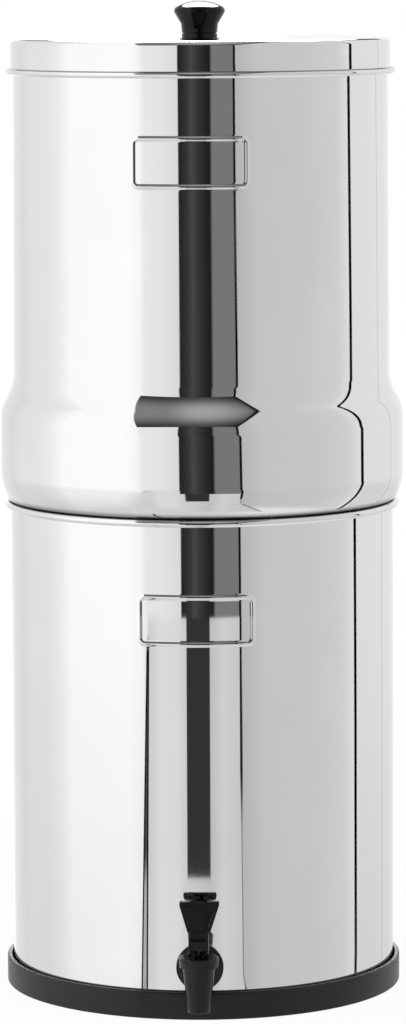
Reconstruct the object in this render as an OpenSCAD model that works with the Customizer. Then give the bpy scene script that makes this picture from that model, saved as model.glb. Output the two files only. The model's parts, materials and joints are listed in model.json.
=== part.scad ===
// Gravity water filter: two nesting steel chambers, a lid, four carbon elements and a lever tap.
// Millimetres. The origin is on the axis of the vessel, in the plane that it stands on.
// +Z is up and the tap faces -Y.

/* [Sheet steel] */
// Thickness of the steel of both chambers and the lid
sheet = 0.8; // [0.5:0.1:1.2]
// Clearance where one steel piece rests on another
seat_gap = 0.2; // [0.1:0.05:0.3]

/* [Base ring] */
// Height of the rubber ring
ring_h = 17.8; // [14:0.1:18.5]
// Thickness of the ring's upright wall
ring_wall = 3.2; // [2.5:0.1:5]
// Gap between the ring's wall and the lower chamber
ring_gap = 1; // [0.5:0.1:2]
// Thickness of the ledge that the lower chamber stands on
ring_ledge = 3; // [2:0.1:4]
// How far that ledge reaches inwards from the ring's wall
ring_reach = 22; // [15:1:40]
// Bevel on the ring's outer edges
ring_bevel = 0.9; // [0.4:0.1:1.2]

/* [Lower chamber] */
// Outside radius of the lower chamber
chamber_r = 126.8; // [118:0.1:145]
// Height from the underside of its floor to the middle of its rim bead
lower_h = 317.8; // [280:1:360]
// Outside radius of the corner between floor and wall
lower_corner_r = 8; // [5:0.5:9]
// Radius of the rolled rim bead's section
lower_bead_r = 2.35; // [1.8:0.05:2.6]

/* [Upper chamber] */
// Radial gap between the nesting foot and the inside of the lower chamber
nest_gap = 1.2; // [0.8:0.1:2]
// Depth of the nesting foot below the middle of the lower rim bead
nest_depth = 22.5; // [18:0.5:30]
// Outside radius of the corner under the nesting foot
nest_corner_r = 10; // [6:0.5:12]
// Radius of the tight curve that rests on the lower rim bead
shoulder_r = 8; // [7:0.5:9]
// Radius of the long curve between the shoulder and the bulge's wall
bulge_foot_r = 40; // [36:1:46]
// Angle that the long curve turns through
bulge_foot_turn = 25.3; // [24:0.1:27]
// How far the bulge stands out from the lower chamber's wall
bulge_out = 6.5; // [5.5:0.1:8]
// Height of the straight part of the bulge
bulge_wall_h = 33.4; // [20:0.1:50]
// How far the wall steps in above the bulge
flare_step = 8.9; // [7:0.1:12]
// Height of that step, which two equal curves make
flare_h = 31.4; // [24:0.1:40]
// Height from the top of the step to the middle of the bead in the rim
upper_wall_h = 215.5; // [180:0.1:260]
// How much narrower the wall is at the rim than above the step
upper_taper = 1.3; // [0:0.1:2]
// Radius of the small bead that is rolled inwards at the rim, under the lid
upper_bead_r = 1.5; // [1.2:0.05:1.8]

/* [Lid] */
// How far the lid's wall stands out from the upper chamber's rim, which it goes over
lid_ease = 1.8; // [1.4:0.1:2.4]
// Height from the middle of the lid's rim bead to its top
lid_h = 21.3; // [16:0.1:30]
// Outside radius of the lid's top edge
lid_edge_r = 3.3; // [2:0.1:4]
// Depth of the shallow dish in the lid's top
lid_dish = 1; // [0:0.1:2]
// Radius of the lid's rolled rim bead's section
lid_bead_r = 2.15; // [1.8:0.05:2.6]

/* [Knob] */
// Greatest radius of the knob
knob_r = 16.7; // [15:0.1:19]
// Radius of the knob's neck where it meets the collar
knob_neck_r = 11.65; // [10:0.05:13]
// Height of the knob above its collar
knob_h = 21; // [19:0.1:26]
// Radius of the sphere that the knob's dome is part of
knob_dome_r = 31; // [28:0.5:36]
// Radius of the knob's widest edge
knob_edge_r = 3; // [2:0.1:3.5]
// Slope of the knob's underside, from the vertical
knob_cone = 34; // [30:1:40]
// Height of the upright part of the knob's neck
knob_neck_h = 6; // [4:0.1:7]
// Height of the collar
collar_h = 4; // [3:0.1:5]
// Radius and height of the collar's thin flange
collar_flange = [13.1, 0.9];
// Radius of the screw that holds the knob
knob_screw_r = 2.5; // [2:0.1:3]

/* [Bare frames on the front] */
// Width and height of the pressed frame on the upper chamber
upper_frame = [77.5, 34.3];
// Width and height of the pressed frame on the lower chamber
lower_frame = [77.3, 34.2];
// Depth of the upper frame's middle below the bead in the rim
upper_frame_drop = 74; // [60:0.1:110]
// Depth of the lower frame's middle below the middle of its rim bead
lower_frame_drop = 62.5; // [45:0.1:90]
// Turn of the upper frame to the left of the tap, in degrees
upper_frame_turn = 2; // [-4:0.1:4]
// Turn of the lower frame to the left of the tap, in degrees
lower_frame_turn = 0.7; // [-4:0.1:4]
// Width of the raised ridge
ridge_w = 4; // [2:0.1:5]
// Height of the raised ridge
ridge_h = 0.6; // [0.4:0.1:1]
// Outside radius of the frames' corners
frame_corner_r = 5.5; // [4:0.1:6]

/* [Filter elements] */
// Radius of the carbon cylinders
element_r = 35; // [30:0.5:38]
// Height of the carbon cylinders
element_h = 205; // [150:5:220]
// How far the caps stand out from the carbon
cap_lip = 0.6; // [0.3:0.1:1]
// Height of the top caps
cap_h = 8; // [5:0.5:14]
// Height of the base caps
base_h = 14; // [10:0.5:20]
// Gap between the caps and the wall of the nesting foot
element_wall_gap = 16.4; // [13:0.1:18]
// Radius of the outlet stems
stem_r = 6.2; // [5:0.1:7]
// Length of the outlet stems below the base caps
stem_l = 38; // [28:1:45]
// Radius of the water way up each stem
stem_bore_r = 3; // [2:0.1:3.5]
// Clearance of the stems in the floor's holes
stem_gap = 0.8; // [0.4:0.1:1.2]
// Thickness of the sealing washers
seal_t = 3; // [2:0.1:4]
// Radius of the sealing washers
seal_r = 12; // [10:0.5:15]
// Thickness of the wing nuts' hubs
nut_h = 12; // [8:0.5:14]
// Radius of the wing nuts' hubs
nut_r = 10; // [9:0.5:12]
// Length, thickness and height of one wing
wing = [15, 3, 15];

/* [Tap] */
// Height of the tap's shank above the ground
tap_z = 34.1; // [33.8:0.1:60]
// Distance of the valve's axis from the steel wall
valve_out = 34.4; // [30:0.1:42]
// Radius of the threaded shank
shank_r = 7.8; // [7:0.1:8.5]
// Radius of the tap's arm between the flange and the valve
arm_r = 7.1; // [6.5:0.1:7.2]
// Radius of the water way through the shank
shank_bore_r = 4.5; // [3.5:0.1:5]
// Length of the shank inside the wall
shank_in = 24; // [18:1:30]
// Clearance of the shank in the wall and the washers
shank_gap = 0.25; // [0.1:0.05:0.5]
// Radius of the rubber washers
washer_r = 15.2; // [13:0.1:15.5]
// Thickness of the rubber washers
washer_t = 2.5; // [2:0.1:4]
// Radius of the tap's flange
flange_r = 13.5; // [11:0.1:14]
// Thickness of the tap's flange
flange_t = 2.5; // [2:0.1:4]
// Width across the flats and thickness of the tap's nut
tap_nut = [23, 7];
// Radius of the barrel under the bonnet
barrel_r = 10.25; // [9.8:0.05:11]
// Radius of the spout's end
spout_r = 7.3; // [7:0.1:8.5]
// Length of the spout's end below the shank
spout_drop = 21.5; // [18:0.1:24]
// Height of the barrel's shoulder above the shank
barrel_rise = 7.2; // [6:0.1:9]
// Radius of the valve's chamber inside the barrel
valve_r = 7; // [6.4:0.1:7.4]
// Radius of the outlet's bore
outlet_r = 5.5; // [4.5:0.1:5.8]
// Depth of the outlet's seat below the shank
seat_drop = 7.1; // [6:0.1:8]
// Radii of the bonnet at its bottom and its top
bonnet_r = [12.1, 12.7];
// Height of the bonnet
bonnet_h = 7; // [6:0.1:8]
// Thickness of the bonnet's top
bonnet_top = 1.6; // [1.2:0.1:2.5]
// Radius of the neck that the bonnet screws on to
collar_neck_r = 9.6; // [9:0.1:9.8]

/* [Valve] */
// Radius of the valve stem's rod
rod_r = 2.5; // [2:0.1:3]
// Clearance of the rod in the bonnet
rod_gap = 0.25; // [0.15:0.05:0.4]
// Height of the lever's pin above the bonnet
pin_h = 10.2; // [9:0.1:12]
// Radius of the lever's pin
pin_r = 1.5; // [1.2:0.1:2]
// Running clearance of the pin in the lever
pin_gap = 0.06; // [0.03:0.01:0.1]
// Width of the stem's head between the fork's cheeks
head_w = 9.4; // [8:0.1:10]
// Radius of the stem's head round the pin
head_r = 4.6; // [4:0.1:5]
// Radius and height of the rubber seat
seat_size = [6.5, 4];
// Travel of the stem when the lever is pulled right over
lift = 3; // [2:0.1:3.5]
// Angle of the lever when it is pulled right over
lever_turn = 50; // [40:1:55]
// Mean radius and wire radius of the spring's coil
spring_coil = [4.3, 0.45];
// Turns of the spring
spring_turns = 6; // [4:1:8]

/* [Lever] */
// Width of the paddle's top edge
paddle_w = 25.4; // [20:0.1:30]
// Height of the paddle's top edge above the pin
paddle_rise = 21; // [18:0.1:26]
// Lean of the paddle towards the wall, from the vertical
paddle_lean = 41; // [30:0.5:42]
// Thickness of the paddle
paddle_t = 3.2; // [2.5:0.1:4]
// Depth and height of the thick bar along the paddle's top
paddle_bar = [5.5, 4];
// Depth of the sunk panel in the paddle's front
panel_sink = 0.8; // [0.4:0.1:1.2]
// Width of the raised border round that panel
border_w = 2.2; // [1.5:0.1:3]
// Thickness of the fork's cheeks
cheek_t = 1.5; // [1.2:0.1:2.5]
// Gap between the cheeks and the stem's head
cheek_gap = 0.2; // [0.1:0.05:0.4]
// Gap between the cheeks' heels and the bonnet
heel_gap = 0.2; // [0.1:0.05:0.3]

/* [Hidden] */
$fn = 96;

touch = 0.05;         // hairline between pieces that lie against each other
bite = 0.1;           // overlap that joins the shapes of one piece
arc_steps = 8;        // straight lines that stand for one rounded corner
fine_round = 256;     // facets of a wide round that a thin washer lies against
cut = 2;              // how far a cutting shape runs past what it cuts
element_count = 4;

// Lower chamber
lower_in_r = chamber_r - sheet;
floor_z = ring_ledge;
bead_z = floor_z + lower_h;
bead_x = lower_in_r + lower_bead_r - bite;
ring_in_r = chamber_r + ring_gap;
ring_r = ring_in_r + ring_wall;

// Upper chamber, from the nesting foot upwards
nest_r = lower_in_r - nest_gap;
nest_z = bead_z - nest_depth;
bulge_r = chamber_r + bulge_out;
shoulder_x = bulge_r - bulge_foot_r + (bulge_foot_r - shoulder_r) * cos(bulge_foot_turn);
shoulder_reach = shoulder_r + lower_bead_r + seat_gap;
shoulder_z = bead_z + sqrt(pow(shoulder_reach, 2) - pow(bead_x - shoulder_x, 2));
bulge_z = shoulder_z + (bulge_foot_r - shoulder_r) * sin(bulge_foot_turn);
bulge_top_z = bulge_z + bulge_wall_h;
flare_slope = 2 * atan(flare_step / flare_h);
flare_r = flare_h / (2 * sin(flare_slope));
flare_top_z = bulge_top_z + flare_h;
upper_r = bulge_r - flare_step;
rim_r = upper_r - upper_taper;
rim_z = flare_top_z + upper_wall_h;
rim_x = rim_r - upper_bead_r + bite;

// Lid and knob
lid_r = rim_r + lid_ease;
lid_z = rim_z + upper_bead_r + seat_gap + sheet;
lid_bead_x = lid_r - sheet + lid_bead_r - bite;
lid_bead_z = lid_z - lid_h;
lid_flat_r = collar_flange[0] + 2;
lid_seat_z = lid_z - lid_dish;
collar_z = lid_seat_z + touch;
knob_z = collar_z + collar_h + touch;
groove_depth = 0.6;
groove_h = 0.5;
flange_edge = 0.55;
knob_neck_flare = 0.5;
knob_core = 6;        // solid plastic over the blind hole of the knob's screw
screw_head = [4.5, 2.5];
screw_socket = [1.8, 1.6];
screw_l = 18;
screw_washer = [8, 1];
screw_clear = 0.3;

// Filter elements
cap_r = element_r + cap_lip;
pitch_r = nest_r - sheet - element_wall_gap - cap_r;
floor_top_z = nest_z + sheet;
seal_z = floor_top_z + touch;
base_z = seal_z + seal_t + touch;
element_z = base_z + base_h + touch;
cap_z = element_z + element_h + touch;
stem_hole_r = stem_r + stem_gap;
nut_z = nest_z - touch - nut_h;
core_r = 10;
core_roof = 12;
cap_round = 3;
wing_root = 2;        // depth of a wing's root in the wing nut's hub
thread_gap = 0.1;

// Tap
wall_y = -chamber_r;
flange_y = wall_y - washer_t - touch;
valve_y = wall_y - valve_out;
barrel_z = tap_z + barrel_rise;
spout_z = tap_z - spout_drop;
valve_seat_z = tap_z - seat_drop;
bonnet_z = barrel_z + touch;
bonnet_top_z = bonnet_z + bonnet_h;
collar_neck_z = bonnet_top_z - bonnet_top - touch;
shank_end_y = wall_y + shank_in;
shank_hole_r = shank_r + shank_gap;
nut_y = wall_y + sheet + washer_t + 2 * touch;
bonnet_gap = 0.25;    // between the bonnet and the neck that it screws on to

// Valve and lever
pin_z = bonnet_top_z + pin_h;
seat_z = valve_seat_z + touch;
seat_floor = 1.5;     // rubber under the rod's end
socket_depth = seat_size[1] - seat_floor;
rod_z = seat_z + seat_size[1] - socket_depth + touch;
spring_gap = 0.2;
spring_z = [seat_z + seat_size[1] + spring_gap, collar_neck_z + touch - spring_gap];
fork_in = head_w / 2 + cheek_gap;
fork_out = fork_in + cheek_t;
lever_hole_r = pin_r + pin_gap;
heel_r = pin_h - heel_gap;
heel_rate = lift / (lever_turn * PI / 180);
heel_back = 3.5;      // flat of the heel behind the pin
head_clear = 0.5;
head_foot = 4.5;      // height of the stem's head above the bonnet
cheek_nose = [-9.6, -1.5];
cheek_brow = [-4.4, 4.4];
cheek_top = 9;        // how far up the paddle the cheeks reach
cheek_back = [[6.5, 0], [5.7, -6]];
paddle_foot = 2;      // height above the pin where the paddle starts to widen
panel_foot = 8;       // how far up the paddle its sunk panel starts
lever_reach = 20;     // more than the lever reaches from its pin

// Points of an arc about (x, y) from angle a to angle b
function arc(x, y, r, a, b, steps = arc_steps) =
    [for (i = [0 : steps]) let (t = a + (b - a) * i / steps) [x + r * cos(t), y + r * sin(t)]];

function reversed(points) = [for (i = [len(points) - 1 : -1 : 0]) points[i]];

// Sections of the three steel pieces, set in from the outer surface by d
function lower_line(d) = concat(
    [[0, floor_z + d]],
    arc(chamber_r - lower_corner_r, floor_z + lower_corner_r, lower_corner_r - d, -90, 0),
    [[chamber_r - d, bead_z]]
);

function upper_line(d) = let (meet = acos((nest_r - d - shoulder_x) / (shoulder_r - d))) concat(
    [[0, nest_z + d]],
    arc(nest_r - nest_corner_r, nest_z + nest_corner_r, nest_corner_r - d, -90, 0),
    arc(shoulder_x, shoulder_z, shoulder_r - d, -meet, -bulge_foot_turn),
    arc(bulge_r - bulge_foot_r, bulge_z, bulge_foot_r - d, -bulge_foot_turn, 0),
    arc(bulge_r - flare_r, bulge_top_z, flare_r - d, 0, flare_slope),
    arc(upper_r + flare_r, flare_top_z, flare_r + d, 180 + flare_slope, 180),
    [[rim_r - d, rim_z]]
);

function lid_line(d) = concat(
    [[0, lid_seat_z - d], [lid_flat_r, lid_seat_z - d]],
    arc(lid_r - lid_edge_r, lid_z - lid_edge_r, lid_edge_r - d, 90, 0),
    [[lid_r - d, lid_bead_z]]
);

// A lathe-turned shell one sheet thick between a line and its inner copy
module shell(outer, inner) {
    rotate_extrude() polygon(concat(outer, reversed(inner)));
}

module bead(x, z, r) {
    rotate_extrude() translate([x, z]) circle(r = r);
}

// A cylinder that lies along Y, starting at y
module along_y(y, length, r) {
    translate([0, y, 0]) rotate([-90, 0, 0]) cylinder(r = r, h = length);
}

// A cylinder that lies along X, centred on x = 0
module along_x(length, r) {
    rotate([0, 90, 0]) cylinder(r = r, h = length, center = true);
}

module rounded(size, r) {
    square([size[0] - 2 * r, size[1]], center = true);
    square([size[0], size[1] - 2 * r], center = true);
    for (x = [-1, 1], y = [-1, 1])
        translate([x * (size[0] / 2 - r), y * (size[1] / 2 - r)]) circle(r = r);
}

// The bare frame pressed outwards in a front wall, whose radius at its foot and top are given
module pressed_frame(size, z, r_low, r_high) {
    band = size[1] + 2 * ridge_w;
    intersection() {
        translate([0, 0, z]) rotate([90, 0, 0]) linear_extrude(r_low + 2 * ridge_h) difference() {
            rounded(size, frame_corner_r);
            rounded([size[0] - 2 * ridge_w, size[1] - 2 * ridge_w], frame_corner_r - ridge_w / 2);
        }
        translate([0, 0, z - band / 2]) difference() {
            cylinder(r1 = r_low + ridge_h, r2 = r_high + ridge_h, h = band);
            translate([0, 0, -bite]) cylinder(r1 = r_low - sheet / 2, r2 = r_high - sheet / 2, h = band + 2 * bite);
        }
    }
}

// Places its children at the place of one filter element
module at_element(i) {
    rotate([0, 0, 45 + 90 * (i - 1)]) translate([pitch_r, 0, 0]) children();
}

// ---------- Base and lower chamber ----------

module base_ring() {
    ring_x = ring_in_r - ring_reach;
    color("#2b2a2c") rotate_extrude() polygon([
        [ring_x, 0], [ring_r - ring_bevel, 0], [ring_r, ring_bevel],
        [ring_r, ring_h - ring_bevel], [ring_r - ring_bevel, ring_h],
        [ring_in_r, ring_h], [ring_in_r, ring_ledge - touch], [ring_x, ring_ledge - touch]
    ]);
}

module lower_chamber() {
    color("gainsboro") difference() {
        union() {
            shell(lower_line(0), lower_line(sheet));
            bead(bead_x, bead_z, lower_bead_r);
            rotate([0, 0, -lower_frame_turn])
                pressed_frame(lower_frame, bead_z - lower_frame_drop, chamber_r, chamber_r);
        }
        translate([0, 0, tap_z]) along_y(wall_y - cut, sheet + 2 * cut, shank_hole_r);
    }
}

// ---------- Upper chamber ----------

function wall_r(z) = upper_r - upper_taper * (z - flare_top_z) / upper_wall_h;

module upper_chamber() {
    frame_z = rim_z - upper_frame_drop;
    half_band = upper_frame[1] / 2 + ridge_w;
    color("gainsboro") difference() {
        union() {
            shell(upper_line(0), upper_line(sheet));
            bead(rim_x, rim_z, upper_bead_r);
            rotate([0, 0, -upper_frame_turn])
                pressed_frame(upper_frame, frame_z, wall_r(frame_z - half_band), wall_r(frame_z + half_band));
        }
        for (i = [1 : element_count])
            at_element(i) translate([0, 0, nest_z - cut]) cylinder(r = stem_hole_r, h = sheet + 2 * cut);
    }
}

// ---------- Filter elements ----------

module filter_element(i) {
    color("#1d1d1f") at_element(i) difference() {
        translate([0, 0, element_z]) cylinder(r = element_r, h = element_h);
        translate([0, 0, element_z - cut]) cylinder(r = core_r, h = element_h - core_roof + cut);
    }
}

module filter_cap(i) {
    color("#333335") at_element(i) translate([0, 0, cap_z]) rotate_extrude() polygon(concat(
        [[0, 0], [cap_r, 0]],
        arc(cap_r - cap_round, cap_h - cap_round, cap_round, 0, 90),
        [[0, cap_h]]
    ));
}

module filter_base(i) {
    color("#333335") at_element(i) difference() {
        union() {
            translate([0, 0, base_z]) cylinder(r = cap_r, h = base_h);
            translate([0, 0, base_z - stem_l]) cylinder(r = stem_r, h = stem_l + bite);
        }
        translate([0, 0, base_z - stem_l - cut]) cylinder(r = stem_bore_r, h = stem_l + base_h + 2 * cut);
    }
}

module filter_washer(i) {
    color("#252525") at_element(i) translate([0, 0, seal_z]) difference() {
        cylinder(r = seal_r, h = seal_t);
        translate([0, 0, -cut]) cylinder(r = stem_r + stem_gap / 2, h = seal_t + 2 * cut);
    }
}

module wing_nut(i) {
    color("#303032") at_element(i) translate([0, 0, nut_z]) difference() {
        union() {
            cylinder(r = nut_r, h = nut_h);
            for (side = [0, 180]) rotate([0, 0, side])
                translate([nut_r - wing_root, -wing[1] / 2, nut_h - wing[2]])
                    cube([wing[0] + wing_root, wing[1], wing[2]]);
        }
        translate([0, 0, -cut]) cylinder(r = stem_r + thread_gap, h = nut_h + 2 * cut);
    }
}

// ---------- Lid and knob ----------

module lid() {
    color("gainsboro") difference() {
        union() {
            shell(lid_line(0), lid_line(sheet));
            bead(lid_bead_x, lid_bead_z, lid_bead_r);
        }
        translate([0, 0, lid_seat_z - sheet - cut]) cylinder(r = knob_screw_r + screw_clear, h = sheet + 2 * cut);
    }
}

module lid_knob() {
    dome_z = knob_h - knob_dome_r;
    edge_x = knob_r - knob_edge_r;
    dome_edge = acos(edge_x / (knob_dome_r - knob_edge_r));
    edge_z = dome_z + (knob_dome_r - knob_edge_r) * sin(dome_edge);
    color("#1b1b1d") translate([0, 0, knob_z]) difference() {
        rotate_extrude() polygon(concat(
            [[0, 0], [knob_neck_r, 0], [knob_neck_r + knob_neck_flare, knob_neck_h]],
            arc(edge_x, edge_z, knob_edge_r, -knob_cone, dome_edge),
            arc(0, dome_z, knob_dome_r, dome_edge, 90)
        ));
        translate([0, 0, -cut]) cylinder(r = knob_screw_r + thread_gap, h = knob_h - knob_core + cut);
    }
}

module knob_collar() {
    color("#1b1b1d") translate([0, 0, collar_z]) difference() {
        rotate_extrude() polygon([
            [0, 0], [collar_flange[0], 0], [collar_flange[0], flange_edge],
            [knob_neck_r, collar_flange[1]], [knob_neck_r, collar_h - groove_h],
            [knob_neck_r - groove_depth, collar_h - groove_h], [knob_neck_r - groove_depth, collar_h], [0, collar_h]
        ]);
        translate([0, 0, -cut]) cylinder(r = knob_screw_r + screw_clear, h = collar_h + 2 * cut);
    }
}

module knob_screw_washer() {
    color("silver") translate([0, 0, lid_seat_z - sheet - touch - screw_washer[1]]) difference() {
        cylinder(r = screw_washer[0], h = screw_washer[1]);
        translate([0, 0, -cut]) cylinder(r = knob_screw_r + screw_clear, h = screw_washer[1] + 2 * cut);
    }
}

module knob_screw() {
    color("silver") translate([0, 0, lid_seat_z - sheet - 2 * touch - screw_washer[1] - screw_head[1]]) difference() {
        union() {
            cylinder(r = screw_head[0], h = screw_head[1]);
            cylinder(r = knob_screw_r, h = screw_l);
        }
        translate([0, 0, -cut]) cylinder(r = screw_socket[0], h = screw_socket[1] + cut, $fn = 6);
    }
}

// ---------- Tap ----------

module tap_body() {
    color("#29292b") difference() {
        union() {
            translate([0, 0, tap_z]) {
                along_y(flange_y - touch, shank_end_y - flange_y, shank_r);
                along_y(flange_y - flange_t, flange_t, flange_r);
                along_y(valve_y, flange_y - valve_y, arm_r);
            }
            translate([0, valve_y, 0]) rotate_extrude() polygon([
                [0, spout_z], [spout_r, spout_z], [barrel_r, barrel_z],
                [collar_neck_r, barrel_z], [collar_neck_r, collar_neck_z], [0, collar_neck_z]
            ]);
        }
        translate([0, valve_y, spout_z - cut]) cylinder(r = outlet_r, h = valve_seat_z - spout_z + 2 * cut);
        translate([0, valve_y, valve_seat_z]) cylinder(r = valve_r, h = collar_neck_z - valve_seat_z + cut);
        translate([0, 0, tap_z]) along_y(valve_y, shank_end_y - valve_y + cut, shank_bore_r);
    }
}

module tap_outer_washer() {
    color("#202022") difference() {
        translate([0, 0, tap_z]) along_y(flange_y, washer_t + cut, washer_r);
        cylinder(r = chamber_r + touch, h = 2 * tap_z, $fn = fine_round);
        translate([0, 0, tap_z]) along_y(flange_y - cut, washer_t + 3 * cut, shank_hole_r);
    }
}

module tap_inner_washer() {
    inner_face_y = nut_y - touch;
    color("#202022") intersection() {
        difference() {
            translate([0, 0, tap_z]) along_y(wall_y, inner_face_y - wall_y, washer_r);
            translate([0, 0, tap_z]) along_y(wall_y - cut, inner_face_y - wall_y + 2 * cut, shank_hole_r);
        }
        cylinder(r = lower_in_r - 2 * touch, h = 2 * tap_z, $fn = fine_round);
    }
}

module tap_nut() {
    color("#29292b") translate([0, 0, tap_z]) difference() {
        translate([0, nut_y, 0]) rotate([-90, 0, 0])
            cylinder(r = tap_nut[0] / 2 / cos(30), h = tap_nut[1], $fn = 6);
        along_y(nut_y - cut, tap_nut[1] + 2 * cut, shank_r + thread_gap);
    }
}

module tap_bonnet() {
    skirt_h = bonnet_h - bonnet_top;
    color("#29292b") translate([0, valve_y, bonnet_z]) difference() {
        cylinder(r1 = bonnet_r[0], r2 = bonnet_r[1], h = bonnet_h);
        translate([0, 0, -cut]) cylinder(r = collar_neck_r + bonnet_gap, h = skirt_h + cut);
        cylinder(r = rod_r + rod_gap, h = bonnet_h + cut);
    }
}

// One point of the spring's coil at turn t, and the ring of wire about it
function coil_ring(t, sides = 6) =
    let (climb = spring_z[1] - spring_z[0] - 2 * spring_coil[1])
    let (mid = spring_z[0] + spring_coil[1] + climb * t / spring_turns)
    [for (k = [0 : sides - 1]) let (a = 360 * k / sides, r = spring_coil[0] + spring_coil[1] * cos(a))
        [r * cos(360 * t), r * sin(360 * t), mid + spring_coil[1] * sin(a)]];

module tap_spring() {
    sides = 6;
    steps = 16;
    rings = [for (i = [0 : spring_turns * steps]) coil_ring(i / steps, sides)];
    last = len(rings) - 1;
    points = [for (ring = rings, p = ring) p];
    walls = [for (i = [0 : last - 1], k = [0 : sides - 1]) let (n = (k + 1) % sides)
        [i * sides + k, (i + 1) * sides + k, (i + 1) * sides + n, i * sides + n]];
    flat_walls = [for (q = walls) each [[q[0], q[1], q[2]], [q[0], q[2], q[3]]]];
    ends = [
        for (k = [1 : sides - 2]) [0, k, k + 1],
        for (k = [1 : sides - 2]) [last * sides, last * sides + k + 1, last * sides + k]
    ];
    color("silver") translate([0, valve_y, 0]) polyhedron(points, concat(flat_walls, ends));
}

module tap_stem() {
    head_drop = pin_h - head_foot;
    color("#29292b") translate([0, valve_y, 0]) difference() {
        union() {
            translate([0, 0, rod_z]) cylinder(r = rod_r, h = pin_z - rod_z);
            translate([0, 0, pin_z]) along_x(head_w, head_r);
            translate([-head_w / 2, -head_r, pin_z - head_drop]) cube([head_w, 2 * head_r, head_drop]);
        }
        translate([0, 0, pin_z]) along_x(head_w + 2 * cut, pin_r + touch / 2);
    }
}

module tap_seat() {
    color("#c9c4b8") translate([0, valve_y, seat_z]) difference() {
        cylinder(r = seat_size[0], h = seat_size[1]);
        translate([0, 0, seat_size[1] - socket_depth]) cylinder(r = rod_r + touch, h = socket_depth + cut);
    }
}

module lever_pin() {
    color("silver") translate([0, valve_y, pin_z]) along_x(2 * fork_out, pin_r);
}

// The heel's rolling outline: its reach below the pin grows evenly as the lever turns by a degrees
function heel(a) =
    let (reach = heel_r + heel_rate * a * PI / 180)
    [-reach * sin(a) - heel_rate * cos(a), -reach * cos(a) + heel_rate * sin(a)];

// Point at distance u up the paddle and v in front of its face, in the side view about the pin
function on_paddle(u, v) = [
    u * sin(paddle_lean) - v * cos(paddle_lean),
    u * cos(paddle_lean) + v * sin(paddle_lean)
];

module lever_side() {
    face_top = on_paddle(paddle_rise / cos(paddle_lean), 0);
    bar_u = (paddle_rise - paddle_bar[1]) / cos(paddle_lean);
    bar_front = on_paddle(bar_u, 0);
    polygon([
        on_paddle(-1, 0), bar_front, face_top,
        face_top + [paddle_bar[0], 0], face_top + [paddle_bar[0], -paddle_bar[1]],
        on_paddle(bar_u, -paddle_t), on_paddle(1, -paddle_t)
    ]);
}

module cheek_side() {
    polygon(concat(
        [[heel_back, -heel_r]],
        [for (a = [0 : 5 : lever_turn + 5]) heel(a)],
        [cheek_nose, cheek_brow, on_paddle(cheek_top, 0), on_paddle(cheek_top, -paddle_t)],
        cheek_back
    ));
}

// Front view of the paddle about the pin
module paddle_front(inset = 0) {
    narrow = fork_out - inset;
    wide = paddle_w / 2 - inset;
    wide_z = paddle_rise - paddle_bar[1] / 2;
    polygon([
        [-narrow, -lever_reach], [narrow, -lever_reach], [narrow, paddle_foot], [wide, wide_z],
        [wide, paddle_rise + cut], [-wide, paddle_rise + cut], [-wide, wide_z], [-narrow, paddle_foot]
    ]);
}

// A block that runs right through the lever from front to back, with that front view
module front_block(inset = 0) {
    translate([0, lever_reach, 0]) rotate([90, 0, 0]) linear_extrude(2 * lever_reach) paddle_front(inset);
}

// Turns a side view drawn in (y, z) into a slab along X
module slab(from, to) {
    translate([from, 0, 0]) rotate([90, 0, 90]) linear_extrude(to - from) children();
}

module tap_lever() {
    half = paddle_w / 2 + cut;
    panel_to = (paddle_rise - paddle_bar[1]) / cos(paddle_lean);
    color("#29292b") translate([0, valve_y, pin_z]) difference() {
        union() {
            intersection() {
                slab(-half, half) lever_side();
                front_block();
            }
            slab(-fork_out, -fork_in) cheek_side();
            slab(fork_in, fork_out) cheek_side();
        }
        along_x(2 * fork_in, head_r + head_clear);
        translate([-fork_in, -lever_reach, -lever_reach])
            cube([2 * fork_in, 2 * lever_reach, lever_reach + paddle_foot]);
        along_x(2 * fork_out + 2 * cut, lever_hole_r);
        intersection() {
            slab(-half, half) polygon([
                on_paddle(panel_foot, cut), on_paddle(panel_to, cut),
                on_paddle(panel_to, -panel_sink), on_paddle(panel_foot, -panel_sink)
            ]);
            front_block(border_w);
        }
    }
}

// ---------- Assembly ----------

base_ring();
lower_chamber();
tap_body();
tap_outer_washer();
tap_inner_washer();
tap_nut();
tap_bonnet();
tap_spring();
tap_stem();
tap_seat();
lever_pin();
tap_lever();
upper_chamber();
filter_element(1);  // filter_element_1
filter_element(2);  // filter_element_2
filter_element(3);  // filter_element_3
filter_element(4);  // filter_element_4
filter_cap(1);  // filter_cap_1
filter_cap(2);  // filter_cap_2
filter_cap(3);  // filter_cap_3
filter_cap(4);  // filter_cap_4
filter_base(1);  // filter_base_1
filter_base(2);  // filter_base_2
filter_base(3);  // filter_base_3
filter_base(4);  // filter_base_4
filter_washer(1);  // filter_washer_1
filter_washer(2);  // filter_washer_2
filter_washer(3);  // filter_washer_3
filter_washer(4);  // filter_washer_4
wing_nut(1);  // wing_nut_1
wing_nut(2);  // wing_nut_2
wing_nut(3);  // wing_nut_3
wing_nut(4);  // wing_nut_4
lid();
lid_knob();
knob_collar();
knob_screw();
knob_screw_washer();
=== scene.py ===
"""Gravity water filter: finished steel shells, rubber, plastic and a studio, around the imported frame.

Sizes are millimetres until a mesh is made, and heights are above the ground that the filter stands on.
"""
import json
import math

import bmesh
import bpy
from mathutils import Matrix, Vector


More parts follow.
